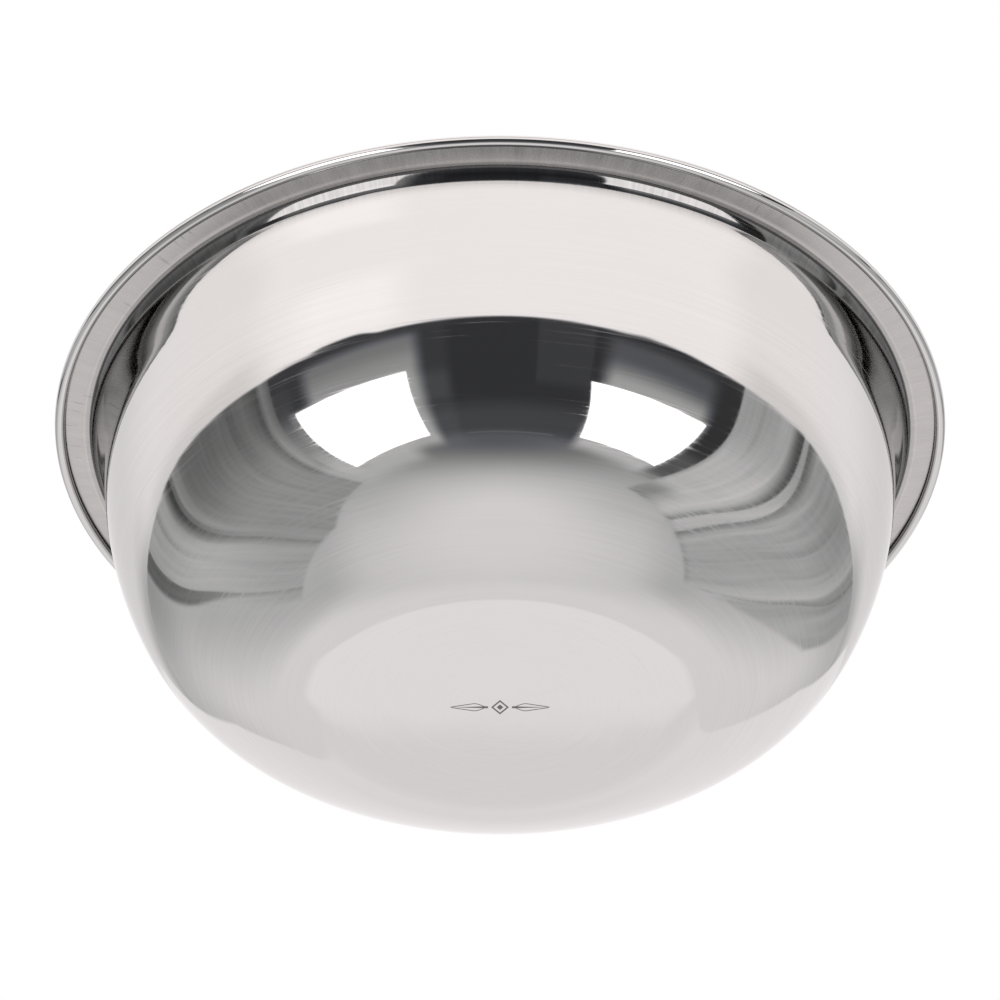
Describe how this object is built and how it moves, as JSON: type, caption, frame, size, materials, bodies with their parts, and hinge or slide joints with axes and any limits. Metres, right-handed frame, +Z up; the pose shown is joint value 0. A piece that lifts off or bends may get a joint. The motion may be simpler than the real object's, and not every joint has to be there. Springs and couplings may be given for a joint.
{
  "type": "shaving bowl",
  "caption": "Deep round stainless steel bowl with a flat base, curved polished sides, a narrow sloping flange and a hollow curled rim.",
  "frame": {"origin": "centre of the flat base, on the face that rests on the table", "axes": "+Z up along the bowl's axis, out through the mouth; X and Y are any two directions across it"},
  "size_m": [0.159, 0.159, 0.0562],
  "materials": {
    "stainless_steel": "mirror-buffed outside with faint polish lines running around it, unbuffed flange with fine draw marks running outwards, satin inside"
  },
  "bodies": {
    "root": {"bowl": "stainless_steel"}
  },
  "joints": []
}
